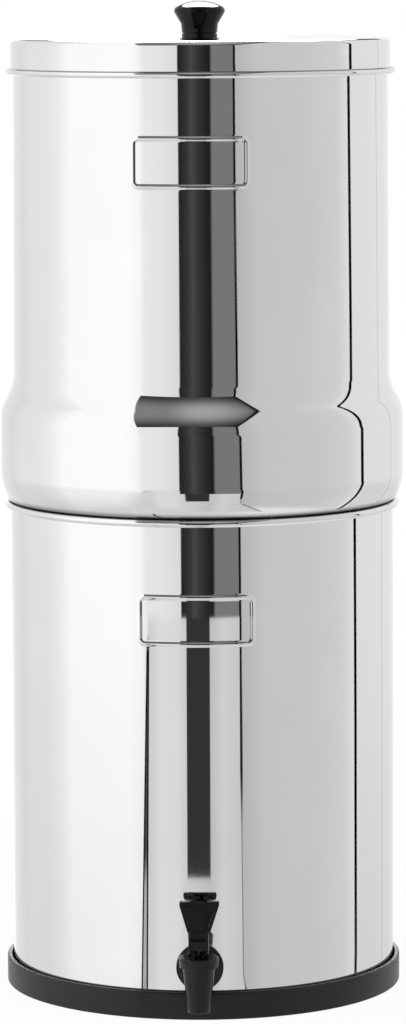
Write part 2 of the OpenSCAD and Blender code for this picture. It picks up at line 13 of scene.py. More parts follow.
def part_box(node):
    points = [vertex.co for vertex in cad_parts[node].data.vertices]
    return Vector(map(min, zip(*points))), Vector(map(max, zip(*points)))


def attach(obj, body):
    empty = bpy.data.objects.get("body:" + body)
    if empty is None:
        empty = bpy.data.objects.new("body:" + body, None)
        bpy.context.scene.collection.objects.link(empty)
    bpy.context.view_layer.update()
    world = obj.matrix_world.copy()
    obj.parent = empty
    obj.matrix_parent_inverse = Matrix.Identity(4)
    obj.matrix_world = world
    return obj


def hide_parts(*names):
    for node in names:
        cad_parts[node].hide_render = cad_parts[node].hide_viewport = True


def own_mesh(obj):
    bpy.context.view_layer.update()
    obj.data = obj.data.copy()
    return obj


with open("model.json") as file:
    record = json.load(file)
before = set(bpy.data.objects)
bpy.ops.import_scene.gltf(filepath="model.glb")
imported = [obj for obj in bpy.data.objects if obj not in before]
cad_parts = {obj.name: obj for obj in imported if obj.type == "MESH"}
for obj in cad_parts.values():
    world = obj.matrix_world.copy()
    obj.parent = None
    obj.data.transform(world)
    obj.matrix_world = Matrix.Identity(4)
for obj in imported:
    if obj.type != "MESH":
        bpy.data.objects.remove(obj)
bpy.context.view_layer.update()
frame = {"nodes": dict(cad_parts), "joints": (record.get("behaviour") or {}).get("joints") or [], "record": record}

MM = 0.001
HERE = {name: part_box(name) for name in frame["nodes"]}


def low(node, axis):
    """Lowest coordinate of a node along an axis, in millimetres."""
    return HERE[node][0]["xyz".index(axis)] / MM


def high(node, axis):
    """Highest coordinate of a node along an axis, in millimetres."""
    return HERE[node][1]["xyz".index(axis)] / MM


# ---------- Sizes, as the frame has them ----------

# Steel
SHEET = 0.8
LOWER_BEAD_R = 2.35
UPPER_BEAD_R = 1.5
LID_BEAD_R = 2.15
BEAD_BITE = 0.1
SEAT_GAP = 0.2

# Base ring
RING_R = high("base_ring", "x")
RING_H = high("base_ring", "z")
RING_WALL = 3.2
RING_LEDGE = 2.95
RING_REACH = 22

# Lower chamber
LOWER_FLOOR = low("lower_chamber", "z")
LOWER_BEAD_X = high("lower_chamber", "x") - LOWER_BEAD_R
LOWER_BEAD_Z = high("lower_chamber", "z") - LOWER_BEAD_R
CHAMBER_R = LOWER_BEAD_X - LOWER_BEAD_R + BEAD_BITE + SHEET
LOWER_CORNER_R = 8

# Upper chamber, from the foot that nests in the lower one to the rim
NEST_GAP = 1.2
NEST_R = CHAMBER_R - SHEET - NEST_GAP
NEST_FLOOR = low("upper_chamber", "z")
NEST_CORNER_R = 10
BULGE_R = high("upper_chamber", "x")
BULGE_FOOT_R = 40
BULGE_FOOT_TURN = 25.3
BULGE_WALL_H = 33.4
SHOULDER_R = 8
FLARE_STEP = 8.9
FLARE_H = 31.4
UPPER_TAPER = 1.3
RIM_Z = high("upper_chamber", "z") - UPPER_BEAD_R

# Lid
LID_BEAD_X = high("lid", "x") - LID_BEAD_R
LID_BEAD_Z = low("lid", "z") + LID_BEAD_R
LID_R = LID_BEAD_X - LID_BEAD_R + BEAD_BITE + SHEET
LID_TOP = high("lid", "z")
LID_DISH = 1
LID_FLAT_R = 15.1
LID_EDGE_R = 3.3

# Knob
KNOB_NECK_R = 11.65
KNOB_NECK_FLARE = (0.5, 6)
KNOB_FOOT_ROUND = 0.5
KNOB_DOME_R = 31
KNOB_EDGE_R = 3
KNOB_EDGE_START = -34
COLLAR_RIM_H = (0.5, 0.9)
COLLAR_STEP = (0.6, 0.5)

# Frames pressed in the fronts: size, depth of the middle below the bead, turn to the left, and ridge
UPPER_FRAME = (77.5, 34.3)
LOWER_FRAME = (77.3, 34.2)
UPPER_FRAME_DROP = 74
LOWER_FRAME_DROP = 62.5
UPPER_FRAME_TURN = 2
LOWER_FRAME_TURN = 0.7
RIDGE_W = 4
RIDGE_H = 0.6
FRAME_CORNER_R = 5.5
# A wall's points are close together to this far past its frame, and end this far below its bead
FRAME_MARGIN = 1
BEAD_ROOM = 2

# Tap
VALVE_Y = (low("lever_pin", "y") + high("lever_pin", "y")) / 2
PIN_Z = (low("lever_pin", "z") + high("lever_pin", "z")) / 2
TAP_Z = 34.1
ARM_R = 7.1
ARM_START = 6
ARM_FILLET = 1.2
ARM_BITE = 0.4
SHANK_R = 7.8
SHANK_END = high("tap_body", "y")
FLANGE_R = 13.5
WASHER_T = 2.55
FLANGE_BACK = -CHAMBER_R - WASHER_T
FLANGE_T = 2.5
FLANGE_ROUNDS = (0.9, 0.4)
SHANK_CHAMFER = 0.8
SPOUT_Z = low("tap_body", "z")
SPOUT_R = 7.3
BARREL_R = 10.25
BARREL_Z = 41.3
NECK_R = 9.6
NECK_Z = high("tap_body", "z")
OUTLET_R = 5.5
VALVE_R = 7
VALVE_SEAT_Z = 27
BONNET_R = (12.1, high("tap_bonnet", "x"))
BONNET_Z = (low("tap_bonnet", "z"), high("tap_bonnet", "z"))
BONNET_TOP = 1.6
STEM_R = 2.5
CAP_GAP = 0.25

# Lever
FORK_IN = 4.9
FORK_OUT = high("lever_pin", "x")
PADDLE_W = high("tap_lever", "x")
PADDLE_RISE = high("tap_lever", "z") - PIN_Z
PADDLE_LEAN = math.radians(41)
PADDLE_T = 3.2
PADDLE_BAR = (5.5, 4)
PADDLE_FOOT = 2
PADDLE_PANEL_FOOT = 8
PADDLE_PANEL_SINK = 0.8
PADDLE_PANEL_DRAFT = (0.3, 0.4)
PADDLE_BORDER = 2.2
HEAD_CLEAR = 5.1
PIN_HOLE_R = 1.56
# Corners of the fork's cheeks about the pin, front and back, and how far they reach up the paddle
CHEEK_FRONT = [(-9.6, -1.5), (-4.4, 4.4)]
CHEEK_BACK = [(6.5, 0), (5.7, -6)]
CHEEK_TOE = 3.5
CHEEK_REACH = 9
CHEEK_BITE = 0.4
LEVER_SWING = 50
HEEL_RISE = 3
HEEL_GAP = 0.2
HEEL_STEP = 5
PADDLE_SOFT = 0.35
CHEEK_SOFT = 0.25

# ---------- Meshes ----------

FRONT = math.radians(-90)
FRONT_SECTOR = math.radians(40)
FRONT_STEPS = 220
REST_STEPS = 160
TURN = 2 * math.pi
MERGE = 2e-6
SHARP_ANGLE = math.radians(35)


def arc(x, z, radius, start, end, steps=16):
    """Points of an arc about (x, z), angles in degrees."""
    turns = (math.radians(start + (end - start) * i / steps) for i in range(steps + 1))
    return [(x + radius * math.cos(turn), z + radius * math.sin(turn)) for turn in turns]


def rows(start, end, count):
    """Points of a straight line between two points, its ends left out."""
    return [(start[0] + (end[0] - start[0]) * i / count, start[1] + (end[1] - start[1]) * i / count)
            for i in range(1, count)]


def rounded(corners, steps=6):
    """An outline through corners (x, z, radius), each corner turned by an arc of its radius."""
    line = []
    for i, (x, z, radius) in enumerate(corners):
        here = Vector((x, z))
        before = Vector(corners[i - 1][:2]) - here
        after = Vector(corners[(i + 1) % len(corners)][:2]) - here
        if not radius:
            line.append((x, z))
            continue
        half = before.angle(after) / 2
        inwards = (before.normalized() + after.normalized()).normalized()
        middle = here + inwards * (radius / math.sin(half))
        first = here + before.normalized() * (radius / math.tan(half))
        turn = before.angle_signed(after)
        sweep = math.copysign(math.pi - abs(turn), turn)
        for k in range(steps + 1):
            spoke = Matrix.Rotation(sweep * k / steps, 2) @ (first - middle)
            line.append(tuple(middle + spoke))
    return line


def new_piece(mesh, name, body, slot, replaced=(), material=None):
    """Finishes a bmesh as a piece that rides on a body, in the finish of its slot or in its own."""
    bmesh.ops.remove_doubles(mesh, verts=mesh.verts, dist=MERGE)
    bmesh.ops.recalc_face_normals(mesh, faces=mesh.faces)
    data = bpy.data.meshes.new(name)
    mesh.to_mesh(data)
    mesh.free()
    for face in data.polygons:
        face.use_smooth = True
    data.set_sharp_from_angle(angle=SHARP_ANGLE)
    piece = bpy.data.objects.new(name, data)
    bpy.context.scene.collection.objects.link(piece)
    piece.data.materials.append(material or FINISH[slot])
    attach(piece, body)
    if replaced:
        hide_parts(*replaced)
    return piece


def spin_line(mesh, line, steps=REST_STEPS, front=False, closed=True, place=Matrix()):
    """Turns an outline of (radius, height) about the Z axis of a place. The front can be finer."""
    start = FRONT - FRONT_SECTOR / 2
    spots = (Vector((x * math.cos(start), x * math.sin(start), z)) * MM for x, z in line)
    verts = [mesh.verts.new(place @ spot) for spot in spots]
    pairs = list(zip(verts, verts[1:])) + ([(verts[-1], verts[0])] if closed else [])
    outline = verts + [mesh.edges.new(pair) for pair in pairs]
    about = {"cent": place.translation, "axis": place.col[2].xyz}
    if front:
        made = bmesh.ops.spin(mesh, geom=outline, angle=FRONT_SECTOR, steps=FRONT_STEPS, **about)
        bmesh.ops.spin(mesh, geom=made["geom_last"], angle=TURN - FRONT_SECTOR, steps=steps, **about)
    else:
        bmesh.ops.spin(mesh, geom=outline, angle=TURN, steps=steps, use_merge=True, **about)
    bmesh.ops.remove_doubles(mesh, verts=mesh.verts, dist=MERGE)
    bmesh.ops.recalc_face_normals(mesh, faces=mesh.faces)


def press_frame(mesh, size, height, turn, least_radius):
    """Raises a plain rounded ridge, the outline of a bare frame, out of a front wall."""
    half = Vector(size) / 2 - Vector((FRAME_CORNER_R, FRAME_CORNER_R))
    for vert in mesh.verts:
        radius = math.hypot(vert.co.x, vert.co.y) / MM
        along = (math.atan2(vert.co.y, vert.co.x) - FRONT + math.radians(turn)) * radius
        up = vert.co.z / MM - height
        if radius < least_radius or abs(along) > size[0] or abs(up) > size[1]:
            continue
        q = Vector((abs(along), abs(up))) - half
        outside = Vector((max(q.x, 0), max(q.y, 0))).length + min(max(q.x, q.y), 0) - FRAME_CORNER_R
        off = abs(outside + RIDGE_W / 2) / (RIDGE_W / 2)
        if off < 1:
            rise = RIDGE_H * (0.5 + 0.5 * math.cos(math.pi * off))
            vert.co.xy *= 1 + rise / radius


# ---------- Shader graphs ----------

WHITE = (1, 1, 1, 1)
BLACK = (0, 0, 0, 1)


class Value:
    """A number on a node's socket, so that shader maths reads as Python."""

    def __init__(self, graph, socket):
        self.graph, self.socket = graph, socket

    def math(self, operation, *others):
        """A maths node on this number and others."""
        return self.graph.add("Math", {"operation": operation}, [self, *others])

    def least(self, other):
        return self.math("MINIMUM", other)

    def most(self, other):
        return self.math("MAXIMUM", other)

    def __add__(self, other):
        return self.math("ADD", other)

    def __sub__(self, other):
        return self.math("SUBTRACT", other)

    def __mul__(self, other):
        return self.math("MULTIPLY", other)

    def __truediv__(self, other):
        return self.math("DIVIDE", other)

    def __rsub__(self, other):
        return self.graph.add("Math", {"operation": "SUBTRACT"}, [other, self])

    def __neg__(self):
        return self * -1

    def __gt__(self, other):
        return self.math("GREATER_THAN", other)

    def __lt__(self, other):
        return self.math("LESS_THAN", other)

    def __abs__(self):
        return self.math("ABSOLUTE")

    __radd__, __rmul__ = __add__, __mul__


class Graph:
    """The nodes of one material or world."""

    def __init__(self, owner):
        owner.use_nodes = True
        self.tree = owner.node_tree
        self.tree.nodes.clear()

    def add(self, kind, settings=None, inputs=None, out=0):
        """Adds a node of a type, with its settings and with values or links for its sockets."""
        node = self.tree.nodes.new("ShaderNode" + kind)
        for key, value in (settings or {}).items():
            if key == "stops":
                self.set_stops(node.color_ramp, value)
            else:
                setattr(node, key, value)
        for key, value in (enumerate(inputs) if isinstance(inputs, list) else (inputs or {}).items()):
            if isinstance(value, Value):
                self.tree.links.new(value.socket, node.inputs[key])
            else:
                node.inputs[key].default_value = value
        return Value(self, node.outputs[out]) if node.outputs else None

    @staticmethod
    def set_stops(ramp, stops):
        """Gives a colour ramp its places and greys."""
        while len(ramp.elements) > 1:
            ramp.elements.remove(ramp.elements[-1])
        for i, (place, shade) in enumerate(stops):
            element = ramp.elements[0] if i == 0 else ramp.elements.new(place)
            element.position = place
            element.color = (shade, shade, shade, 1)

    def mix(self, factor, a, b):
        """Blends two colours."""
        return self.add("Mix", {"data_type": "RGBA"}, {0: factor, 6: a, 7: b}, out=2)

    def blend(self, factor, a, b):
        """Blends two numbers."""
        return self.add("Mix", {"data_type": "FLOAT"}, {0: factor, 2: a, 3: b})

    def scale(self, colour, factor):
        """Makes a colour darker or lighter."""
        return self.add("VectorMath", {"operation": "SCALE"}, {"Vector": colour, "Scale": factor})

    def split(self, vector):
        """The three numbers of a vector."""
        node = self.add("SeparateXYZ", {}, [vector]).socket.node
        return [Value(self, node.outputs[i]) for i in range(3)]

    def smooth(self, value, start, end):
        """Rises smoothly from 0 at start to 1 at end."""
        return self.add("MapRange", {"interpolation_type": "SMOOTHSTEP"}, {0: value, 1: start, 2: end})

    def object_place(self):
        """The place on the object, in metres."""
        return self.add("TexCoord", out="Object")

    def stretched(self, scale=(1, 1, 1)):
        """The place on the object, stretched along its axes."""
        return self.add("Mapping", {}, {"Vector": self.object_place(), "Scale": scale})

    def bearing(self, x, y):
        """Degrees to the right of the front."""
        return x.math("ARCTAN2", -y) * (180 / math.pi)

    def ray(self, kind):
        """One of the facts about the ray that meets the surface, such as Is Camera Ray."""
        return self.add("LightPath", out=kind)

    def noise(self, where, scale, detail=2.0, rough=0.5):
        """A soft random pattern between nought and one."""
        return self.add("TexNoise", {}, {
            "Vector": where, "Scale": scale, "Detail": detail, "Roughness": rough})

    def bump(self, height, strength, distance):
        """The surface's normal, raised and sunk by a pattern."""
        return self.add("Bump", {}, {"Height": height, "Strength": strength, "Distance": distance})

    def glow(self, colour, strength=1.0):
        """A surface that only shines."""
        return self.add("Emission", {}, {"Color": colour, "Strength": strength})

    def see_through(self, shown, shader):
        """A surface that isn't there where shown is nought."""
        clear = self.add("BsdfTransparent", {}, {"Color": WHITE})
        return self.add("MixShader", {}, {0: shown, 1: clear, 2: shader})

    def finish(self, shader, kind="OutputMaterial"):
        """Leads a shader to the material's or the world's surface."""
        self.add(kind, {}, {0: shader})


def new_material(name):
    """A new material with its empty graph."""
    material = bpy.data.materials.new(name)
    return material, Graph(material)


# Dark steel colour painted about creases as shade
PAINTED_CREASE_SHADE = (0.16, 0.157, 0.152, 1)


def polished_steel(name, crease=()):
    """Mirror-polished sheet: faint long waves from the drawing press and a haze of fine polishing marks.

    A crease is a height with its reach down and up, in metres, where shade is painted into the steel's colour.
    """
    material, g = new_material(name)
    waves = g.noise(g.stretched((1, 1, 0.35)), 9, detail=1.0)
    marks = g.noise(g.stretched((60, 60, 900)), 1.0, detail=3.0)
    smudges = g.noise(g.stretched(), 14, detail=3.0)
    normal = g.bump(waves, 1.0, 0.00022)
    roughness = 0.022 + 0.02 * g.smooth(smudges, 0.45, 0.75) + 0.012 * marks
    tint = g.mix(g.smooth(smudges, 0.3, 0.8), (0.865, 0.867, 0.868, 1), (0.84, 0.842, 0.842, 1))
    if crease:
        middle, under, over = crease
        height = g.split(g.object_place())[2]
        # Painted shade: the steel's colour darkens about the crease height, in place of the shade in the crevice
        painted_shade = g.smooth(height, middle - under, middle) * g.smooth(height, middle + over, middle)
        tint = g.mix(painted_shade, tint, PAINTED_CREASE_SHADE)
    g.finish(g.add("BsdfPrincipled", {}, {
        "Base Color": tint, "Metallic": 1.0, "Roughness": roughness, "Normal": normal}))
    return material


def moulded(name, colour, worn_colour, roughness, grain, grain_depth=0.00001, shine=0.5):
    """Black plastic or rubber: fine grain, uneven gloss and faint dust. Grain is in pores a metre."""
    material, g = new_material(name)
    cloud = g.noise(g.stretched(), 60, detail=4.0)
    pores = g.noise(g.stretched(), grain, detail=2.0)
    normal = g.bump(pores, 0.5, grain_depth)
    g.finish(g.add("BsdfPrincipled", {}, {
        "Base Color": g.mix(g.smooth(cloud, 0.35, 0.8), colour, worn_colour),
        "Roughness": roughness + 0.12 * (cloud - 0.5) + 0.05 * pores,
        "Specular IOR Level": shine, "Normal": normal}))
    return material


def porous_carbon():
    """Pressed black grains, dull all over."""
    material, g = new_material("porous_carbon")
    grains = g.noise(g.stretched(), 900, detail=5.0, rough=0.7)
    g.finish(g.add("BsdfPrincipled", {}, {
        "Base Color": g.mix(grains, (0.006, 0.006, 0.007, 1), (0.03, 0.03, 0.031, 1)),
        "Roughness": 0.75 + 0.2 * grains, "Normal": g.bump(grains, 0.8, 0.0004)}))
    return material


def plain_steel():
    """Turned and pressed small parts in satin steel."""
    material, g = new_material("satin_steel")
    lines = g.noise(g.stretched((40, 40, 1500)), 1.0, detail=2.0)
    g.finish(g.add("BsdfPrincipled", {}, {
        "Base Color": g.mix(lines, (0.5, 0.5, 0.5, 1), (0.66, 0.66, 0.65, 1)), "Metallic": 1.0,
        "Roughness": 0.26 + 0.1 * lines}))
    return material


def silicone():
    """Milky soft rubber, a little uneven."""
    material, g = new_material("silicone")
    cloud = g.noise(g.stretched(), 120, detail=3.0)
    g.finish(g.add("BsdfPrincipled", {}, {
        "Base Color": g.mix(cloud, (0.62, 0.59, 0.52, 1), (0.7, 0.68, 0.62, 1)),
        "Roughness": 0.5 + 0.1 * cloud}))
    return material


# Where the upper chamber sits on the lower one, and where the lid's wall meets its bead: creases where shade is
# painted into the steel's colour
SEAT_CREASE = (0.3238, 0.002, 0.0041)
LID_CREASE_Z = LID_BEAD_Z + math.sqrt(LID_BEAD_R ** 2 - (LID_R - LID_BEAD_X) ** 2)
FINISH = {
    "mirror_steel": polished_steel("polished_steel"),
    "base_rubber": moulded(
        "ring_rubber", (0.009, 0.008, 0.0115, 1), (0.014, 0.013, 0.017, 1),
        roughness=0.36, grain=1800, grain_depth=0.00003, shine=0.4),
    "washer_rubber": moulded(
        "washer_rubber", (0.016, 0.016, 0.018, 1), (0.03, 0.03, 0.031, 1),
        roughness=0.55, grain=2500, grain_depth=0.00005),
    "tap_plastic": moulded(
        "tap_plastic", (0.0045, 0.004, 0.006, 1), (0.007, 0.0065, 0.009, 1),
        roughness=0.16, grain=3000, shine=0.35),
    "knob_plastic": moulded(
        "knob_plastic", (0.003, 0.003, 0.004, 1), (0.005, 0.005, 0.006, 1),
        roughness=0.06, grain=2500, shine=0.25),
    "filter_plastic": moulded(
        "filter_plastic", (0.02, 0.02, 0.022, 1), (0.034, 0.034, 0.036, 1),
        roughness=0.45, grain=2200, grain_depth=0.00003),
    "fastener_steel": plain_steel(),
    "seat_silicone": silicone(),
    "filter_carbon": porous_carbon(),
}
# The upper chamber's steel with painted shade at its seat, and the lid's with painted shade where its wall meets
# its bead
SEAT_SHADED_STEEL = polished_steel("seat_shaded_steel", SEAT_CREASE)
LID_SHADED_STEEL = polished_steel("lid_shaded_steel", (LID_CREASE_Z * MM, 0.0006, 0.0007))


def dress_nodes():
    """Gives every carried-over node the finish of its slot."""
    for part in frame["record"]["subparts"]:
        node = frame["nodes"][part["node"]]
        node.data.materials.clear()
        node.data.materials.append(FINISH[part["material_slot"]])


# ---------- Steel shells ----------

def make_lower_chamber():
    """A deep-drawn can with a bead rolled round its rim and a bare frame pressed in its front."""
    inner_r = CHAMBER_R - SHEET
    frame_z = LOWER_BEAD_Z - LOWER_FRAME_DROP
    band = LOWER_FRAME[1] / 2 + FRAME_MARGIN
    corner = (CHAMBER_R - LOWER_CORNER_R, LOWER_FLOOR + LOWER_CORNER_R)
    meet = math.degrees(math.acos((CHAMBER_R - LOWER_BEAD_X) / LOWER_BEAD_R))
    line = (
        [(0, LOWER_FLOOR)]
        + arc(*corner, LOWER_CORNER_R, -90, 0)
        + rows((CHAMBER_R, corner[1]), (CHAMBER_R, frame_z - band), 10)
        + rows((CHAMBER_R, frame_z - band), (CHAMBER_R, frame_z + band), 92)
        + rows((CHAMBER_R, frame_z + band), (CHAMBER_R, LOWER_BEAD_Z - BEAD_ROOM), 4)
        + arc(LOWER_BEAD_X, LOWER_BEAD_Z, LOWER_BEAD_R, -meet, 180, 28)
        + arc(*corner, LOWER_CORNER_R - SHEET, 0, -90)
        + [(0, LOWER_FLOOR + SHEET)]
    )
    mesh = bmesh.new()
    spin_line(mesh, line, front=True)
    press_frame(mesh, LOWER_FRAME, frame_z, LOWER_FRAME_TURN, inner_r + SHEET / 2)
    new_piece(mesh, "lower_chamber_shell", "lower", "mirror_steel", ["lower_chamber"])


def upper_lines(d, steps):
    """The upper chamber's wall, set in from its outer surface by d, from the foot to the rim."""
    reach = SHOULDER_R + LOWER_BEAD_R + SEAT_GAP
    foot_turn = math.radians(BULGE_FOOT_TURN)
    shoulder_x = BULGE_R - BULGE_FOOT_R + (BULGE_FOOT_R - SHOULDER_R) * math.cos(foot_turn)
    shoulder_z = LOWER_BEAD_Z + math.sqrt(reach ** 2 - (LOWER_BEAD_X - shoulder_x) ** 2)
    bulge_z = shoulder_z + (BULGE_FOOT_R - SHOULDER_R) * math.sin(foot_turn)
    bulge_top = bulge_z + BULGE_WALL_H
    slope = 2 * math.degrees(math.atan(FLARE_STEP / FLARE_H))
    flare_r = FLARE_H / (2 * math.sin(math.radians(slope)))
    flare_top = bulge_top + FLARE_H
    wall_r = BULGE_R - FLARE_STEP
    meet = math.degrees(math.acos((NEST_R - d - shoulder_x) / (SHOULDER_R - d)))
    lines = (
        [(0, NEST_FLOOR + d)]
        + arc(NEST_R - NEST_CORNER_R, NEST_FLOOR + NEST_CORNER_R, NEST_CORNER_R - d, -90, 0, steps // 2)
        + arc(shoulder_x, shoulder_z, SHOULDER_R - d, -meet, -BULGE_FOOT_TURN, steps)
        + arc(BULGE_R - BULGE_FOOT_R, bulge_z, BULGE_FOOT_R - d, -BULGE_FOOT_TURN, 0, steps)
        + arc(BULGE_R - flare_r, bulge_top, flare_r - d, 0, slope, steps)
        + arc(wall_r + flare_r, flare_top, flare_r + d, 180 + slope, 180, steps)
    )
    return lines, (wall_r - d, flare_top)


def make_upper_chamber():
    """The foot that nests below, the bulge over the lower rim, and the wall up to the rolled rim."""
    outer, wall_foot = upper_lines(0, 24)
    inner = upper_lines(SHEET, 8)[0]
    rim_r = wall_foot[0] - UPPER_TAPER
    bead_x = rim_r - UPPER_BEAD_R + BEAD_BITE
    frame_z = RIM_Z - UPPER_FRAME_DROP
    band = UPPER_FRAME[1] / 2 + FRAME_MARGIN

    def wall(z):
        """A point of the wall's outer face at a height."""
        return wall_foot[0] - UPPER_TAPER * (z - wall_foot[1]) / (RIM_Z - wall_foot[1]), z

    outer_meet = math.degrees(math.acos((rim_r - bead_x) / UPPER_BEAD_R))
    inner_meet = math.degrees(math.acos((rim_r - SHEET - bead_x) / UPPER_BEAD_R))
    line = (
        outer
        + rows(wall(wall_foot[1]), wall(frame_z - band), 6)
        + rows(wall(frame_z - band), wall(frame_z + band), 90)
        + rows(wall(frame_z + band), wall(RIM_Z - BEAD_ROOM), 3)
        + arc(bead_x, RIM_Z, UPPER_BEAD_R, -outer_meet, 360 - inner_meet, 28)
        + inner[::-1]
    )
    mesh = bmesh.new()
    spin_line(mesh, line, front=True)
    press_frame(mesh, UPPER_FRAME, frame_z, UPPER_FRAME_TURN, rim_r - SHEET / 2)
    new_piece(mesh, "upper_chamber_shell", "upper", "mirror_steel", ["upper_chamber"], SEAT_SHADED_STEEL)


def make_lid():
    """A shallow cap with a dished top and a bead rolled outwards round its rim."""
    outer_meet = math.degrees(math.acos((LID_R - LID_BEAD_X) / LID_BEAD_R))
    inner_meet = math.degrees(math.acos((LID_R - SHEET - LID_BEAD_X) / LID_BEAD_R))

    def top(d, steps):
        """The top, set in from its outer surface by d, from the middle to the wall."""
        return (
            [(0, LID_TOP - LID_DISH - d), (LID_FLAT_R, LID_TOP - LID_DISH - d)]
            + arc(LID_R - LID_EDGE_R, LID_TOP - LID_EDGE_R, LID_EDGE_R - d, 90, 0, steps)
        )

    bead = arc(LID_BEAD_X, LID_BEAD_Z, LID_BEAD_R, outer_meet, inner_meet - 360, 32)
    mesh = bmesh.new()
    spin_line(mesh, top(0, 16) + bead + top(SHEET, 8)[::-1], steps=256, front=True)
    new_piece(mesh, "lid_shell", "lid", "mirror_steel", ["lid"], LID_SHADED_STEEL)


# ---------- Rubber ring and knob ----------

def make_base_ring():
    """The ring that grips the lower chamber's foot, with a ledge beneath it."""
    inner = RING_R - RING_WALL
    lip = inner - RING_REACH
    line = rounded([
        (lip, 0, 0.6), (RING_R, 0, 1.1), (RING_R, RING_H, 1.3), (inner, RING_H, 0.7),
        (inner, RING_LEDGE, 0.3), (lip, RING_LEDGE, 0.6)])
    mesh = bmesh.new()
    spin_line(mesh, line, steps=256)
    new_piece(mesh, "base_ring_rubber", "lower", "base_rubber", ["base_ring"])


def make_knob():
    """A turned grip that widens upwards to a rounded edge and a low dome."""
    foot, top = low("lid_knob", "z"), high("lid_knob", "z")
    widest = high("lid_knob", "x")
    dome_z = top - KNOB_DOME_R
    edge_x = widest - KNOB_EDGE_R
    edge_z = dome_z + math.sqrt((KNOB_DOME_R - KNOB_EDGE_R) ** 2 - edge_x ** 2)
    dome_edge = math.degrees(math.acos(edge_x / (KNOB_DOME_R - KNOB_EDGE_R)))
    inset = KNOB_NECK_R - KNOB_FOOT_ROUND
    line = (
        [(0, foot), (inset, foot)]
        + arc(inset, foot + KNOB_FOOT_ROUND, KNOB_FOOT_ROUND, -90, 0, 4)
        + [(KNOB_NECK_R, foot + 1), (KNOB_NECK_R + KNOB_NECK_FLARE[0], foot + KNOB_NECK_FLARE[1])]
        + arc(edge_x, edge_z, KNOB_EDGE_R, KNOB_EDGE_START, dome_edge, 12)
        + arc(0, dome_z, KNOB_DOME_R, dome_edge, 90, 16)
    )
    mesh = bmesh.new()
    spin_line(mesh, line, steps=96, closed=False)
    new_piece(mesh, "lid_knob_turned", "lid", "knob_plastic", ["lid_knob"])


def make_collar():
    """The knob's foot: a flat rim and a short neck, with a step that shows as a groove above."""
    foot, top = low("knob_collar", "z"), high("knob_collar", "z")
    wide = high("knob_collar", "x")
    edge_z, rim_z = foot + COLLAR_RIM_H[0], foot + COLLAR_RIM_H[1]
    step_r, step_z = KNOB_NECK_R - COLLAR_STEP[0], top - COLLAR_STEP[1]
    line = rounded([
        (0, foot, 0), (wide, foot, 0.2), (wide, edge_z, 0.2), (KNOB_NECK_R, rim_z, 0.3),
        (KNOB_NECK_R, step_z, 0.25), (step_r, step_z, 0), (step_r, top, 0), (0, top, 0)], steps=4)
    mesh = bmesh.new()
    spin_line(mesh, line, steps=96)
    new_piece(mesh, "knob_collar_turned", "lid", "knob_plastic", ["knob_collar"])


# ---------- Tap ----------

VALVE = Matrix.Translation((0, VALVE_Y * MM, 0))
SHANK = Matrix.Translation((0, 0, TAP_Z * MM)) @ Matrix.Rotation(math.radians(-90), 4, "X")


def barrel_r(z):
    """Radius of the barrel, which widens from the spout up to the neck."""
    return SPOUT_R + (BARREL_R - SPOUT_R) * (z - SPOUT_Z) / (BARREL_Z - SPOUT_Z)


def make_tap_body():
    """The barrel and spout with their bore, and the arm, flange and shank behind them."""
    mesh = bmesh.new()
    barrel = rounded([
        (OUTLET_R, SPOUT_Z, 0.5), (SPOUT_R, SPOUT_Z, 0.6), (BARREL_R, BARREL_Z, 0.5),
        (NECK_R, BARREL_Z, 0), (NECK_R, NECK_Z, 0.3), (VALVE_R, NECK_Z, 0.3),
        (VALVE_R, VALVE_SEAT_Z, 0.3), (OUTLET_R, VALVE_SEAT_Z, 0.3)])
    spin_line(mesh, barrel, steps=96, place=VALVE)
    start = VALVE_Y + ARM_START
    front = FLANGE_BACK - FLANGE_T
    fore, aft = FLANGE_ROUNDS
    arm = (
        [(0, start), (ARM_R, start)] + rows((ARM_R, start), (ARM_R, front - ARM_FILLET), 4)
        + arc(ARM_R + ARM_FILLET, front - ARM_FILLET, ARM_FILLET, 180, 90, 6)
        + arc(FLANGE_R - fore, front + fore, fore, -90, 0, 6)
        + arc(FLANGE_R - aft, FLANGE_BACK - aft, aft, 0, 90, 4)
        + [(SHANK_R, FLANGE_BACK), (SHANK_R, SHANK_END - SHANK_CHAMFER)]
        + [(SHANK_R - SHANK_CHAMFER, SHANK_END), (0, SHANK_END)]
    )
    spin_line(mesh, arm, steps=96, closed=False, place=SHANK)
    for vert in mesh.verts:
        across, along, height = vert.co / MM
        if abs(along - start) < 0.01 and math.hypot(across, height - TAP_Z) < ARM_R + 0.01:
            reach = barrel_r(height) - ARM_BITE
            vert.co.y = (VALVE_Y + math.sqrt(reach ** 2 - across ** 2)) * MM
    new_piece(mesh, "tap_body_moulded", "lower", "tap_plastic", ["tap_body"])


def make_bonnet():
    """The screw cap over the barrel's neck, which the stem comes up through."""
    foot, top = BONNET_Z
    inner, hole = NECK_R + CAP_GAP, STEM_R + CAP_GAP
    line = rounded([
        (inner, foot, 0.2), (BONNET_R[0], foot, 0.4), (BONNET_R[1], top - 0.7, 0.5),
        (BONNET_R[1] - 0.9, top, 0.4), (hole, top, 0.3), (hole, top - BONNET_TOP, 0.2),
        (inner, top - BONNET_TOP, 0.2)])
    mesh = bmesh.new()
    spin_line(mesh, line, steps=128, place=VALVE)
    new_piece(mesh, "tap_bonnet_turned", "lower", "tap_plastic", ["tap_bonnet"])


def make_spring():
    """The spring over the stem, a copy of the frame's coil. The stem lifts its foot while its upper end stays, but
    the copy doesn't stretch with it.
    """
    lift = next(joint for joint in frame["joints"] if joint["name"] == "stem_lift")
    end = lift["deforming_nodes"][0]["fixed_end_z_m"]
    left = 1 - lift["range_m"][1] / (end - low("tap_spring", "z") * MM)
    mesh = bmesh.new()
    mesh.from_mesh(frame["nodes"]["tap_spring"].data)
    spring = new_piece(mesh, "tap_spring_coil", "lower", "fastener_steel", ["tap_spring"])
    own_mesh(spring)


